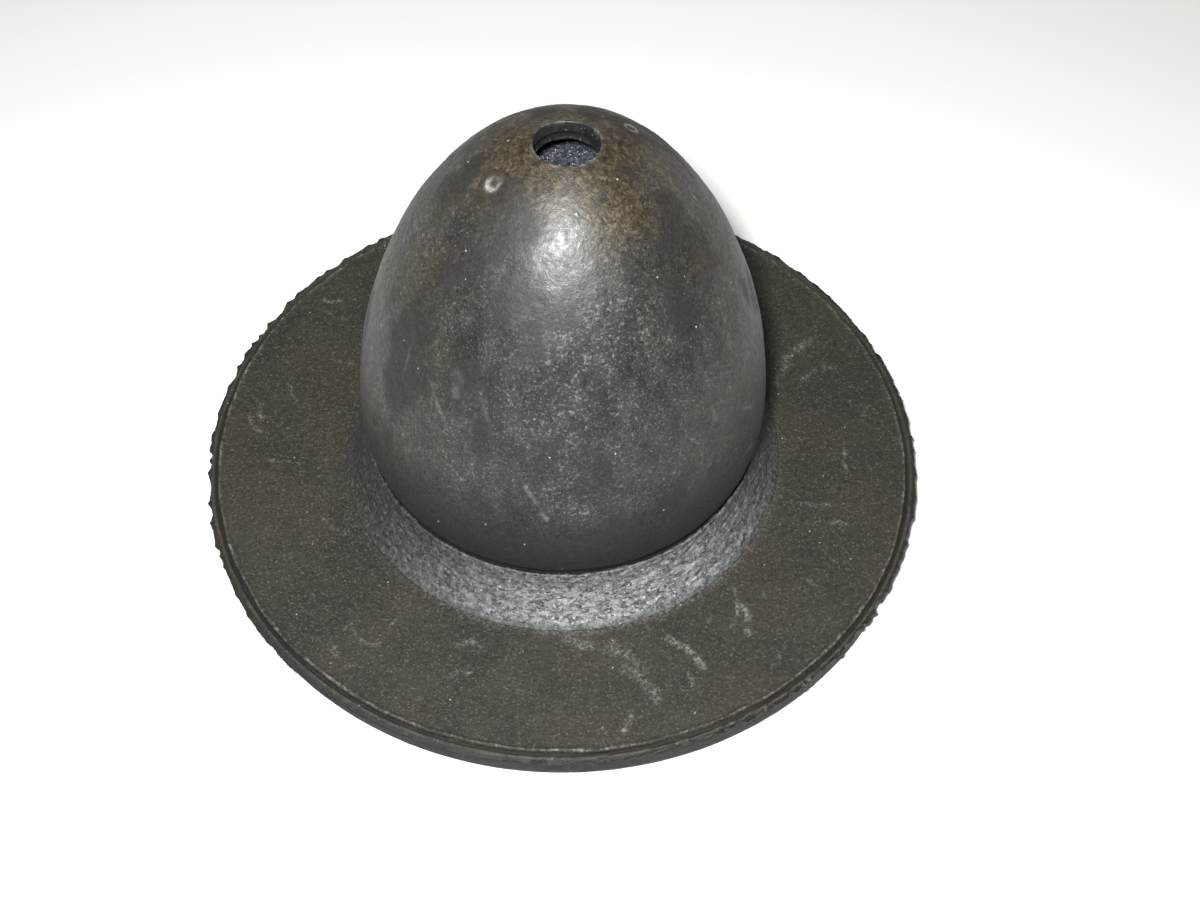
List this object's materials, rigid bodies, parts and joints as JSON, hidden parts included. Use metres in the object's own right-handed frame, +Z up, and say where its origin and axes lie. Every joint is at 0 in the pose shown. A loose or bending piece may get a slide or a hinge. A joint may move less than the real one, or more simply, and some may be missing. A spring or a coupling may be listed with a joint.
{
  "type": "mooring post",
  "caption": "Domed rubber post with a hole in its crown, standing in a flared collar on a wide flexible disc that is bonded down by its flat underside.",
  "frame": {"origin": "centre of the underside of the disc", "axes": "+Z up along the post's own axis; the part is round, so X and Y are any two directions in the plane it is bonded to"},
  "size_m": [0.2, 0.2, 0.1256],
  "materials": {
    "disc_rubber": "dull moulded rubber with a fine grain, a brown bloom and chalky scuffs",
    "collar_rubber": "rough buffed rubber, greyer than the rest",
    "shell_rubber": "smooth satin rubber with an olive bloom, blotches and fine pale specks",
    "seam_cement": "ragged dark rubber cement",
    "washer_rubber": "dark satin rubber with fine pale specks",
    "core_rubber": "matte blue-grey rubber dusted with fine pale specks"
  },
  "bodies": {
    "root": {"base_disc": "disc_rubber", "foot_collar": "collar_rubber", "post_shell": "shell_rubber", "seam_bead": "seam_cement", "crown_washer": "washer_rubber", "post_core": "core_rubber"}
  },
  "joints": []
}
